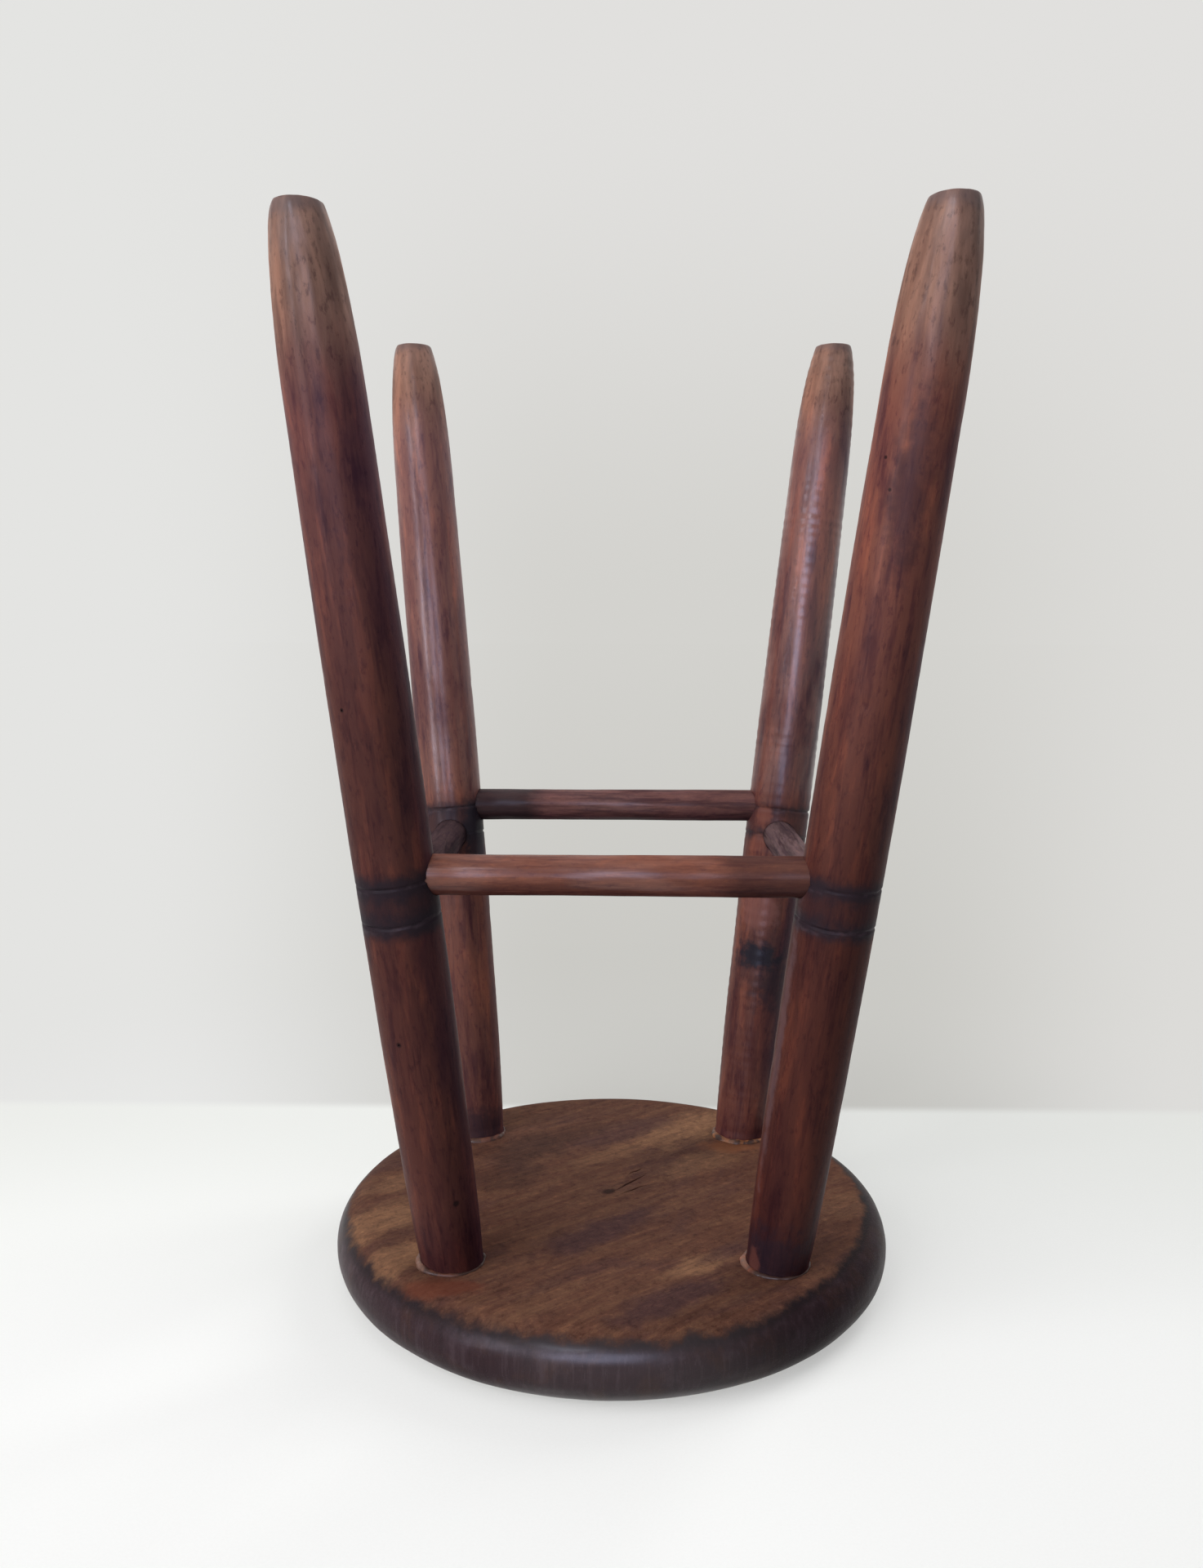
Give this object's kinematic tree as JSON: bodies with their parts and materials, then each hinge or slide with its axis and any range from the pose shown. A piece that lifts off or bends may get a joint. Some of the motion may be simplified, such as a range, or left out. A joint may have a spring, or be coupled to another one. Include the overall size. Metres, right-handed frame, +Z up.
{
  "type": "stool",
  "caption": "Round wooden stool on splayed turned legs joined by plain round stretchers, lying on its sitting face with its feet up.",
  "frame": {"origin": "the middle of the sitting face, which lies on the floor because the stool is upside down as pictured", "axes": "+Z up from the sitting face to the feet, -Y to the front where the front legs are, +X to the right; half a turn about X stands the stool on its feet"},
  "size_m": [0.3, 0.3, 0.518],
  "materials": {
    "seat_wood": "worn brown stain, bare golden wood showing on the underside, dark purplish rim, satin",
    "leg_wood": "dark reddish brown stain under an old satin varnish, worn paler at the feet",
    "stretcher_wood": "reddish brown stain, worn satin varnish",
    "glue": "hardened orange brown glue, glossy"
  },
  "bodies": {
    "root": {"seat": "seat_wood", "leg_front_left": "leg_wood", "leg_front_right": "leg_wood", "leg_rear_left": "leg_wood", "leg_rear_right": "leg_wood", "stretcher_front": "stretcher_wood", "stretcher_rear": "stretcher_wood", "stretcher_left": "stretcher_wood", "stretcher_right": "stretcher_wood", "glue_bead_front_left": "glue", "glue_bead_front_right": "glue", "glue_bead_rear_left": "glue", "glue_bead_rear_right": "glue"}
  },
  "joints": []
}
